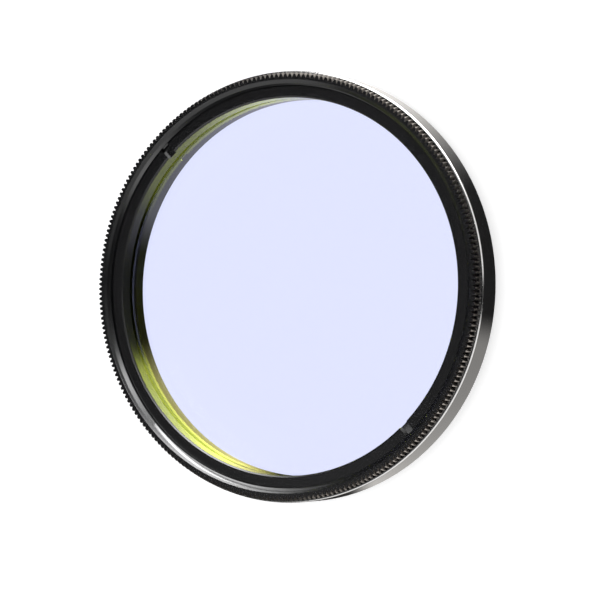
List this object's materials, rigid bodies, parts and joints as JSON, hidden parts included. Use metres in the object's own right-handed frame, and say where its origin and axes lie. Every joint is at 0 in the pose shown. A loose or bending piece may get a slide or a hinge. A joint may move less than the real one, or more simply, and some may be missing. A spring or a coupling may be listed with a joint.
{
  "type": "light pollution filter",
  "caption": "Round threaded filter for a telescope eyepiece or camera: a coated glass plate in a black turned cell with a serrated rim, held by a slotted ring.",
  "frame": {"origin": "centre of the bottom of the bounding box, on the optical axis at the rear face, on the surface it lies on", "axes": "+Z along the optical axis towards the serrated front, +X to the right and +Y up in the picture"},
  "size_m": [0.0506, 0.0506, 0.0071],
  "materials": {
    "cell_black": "black anodised, satin gloss",
    "ring_black": "black anodised, satin",
    "coated_glass": "polished, coated, pale lavender with a yellow-green reflection"
  },
  "bodies": {
    "root": {"filter_cell": "cell_black", "retaining_ring": "ring_black", "filter_glass": "coated_glass"}
  },
  "joints": []
}
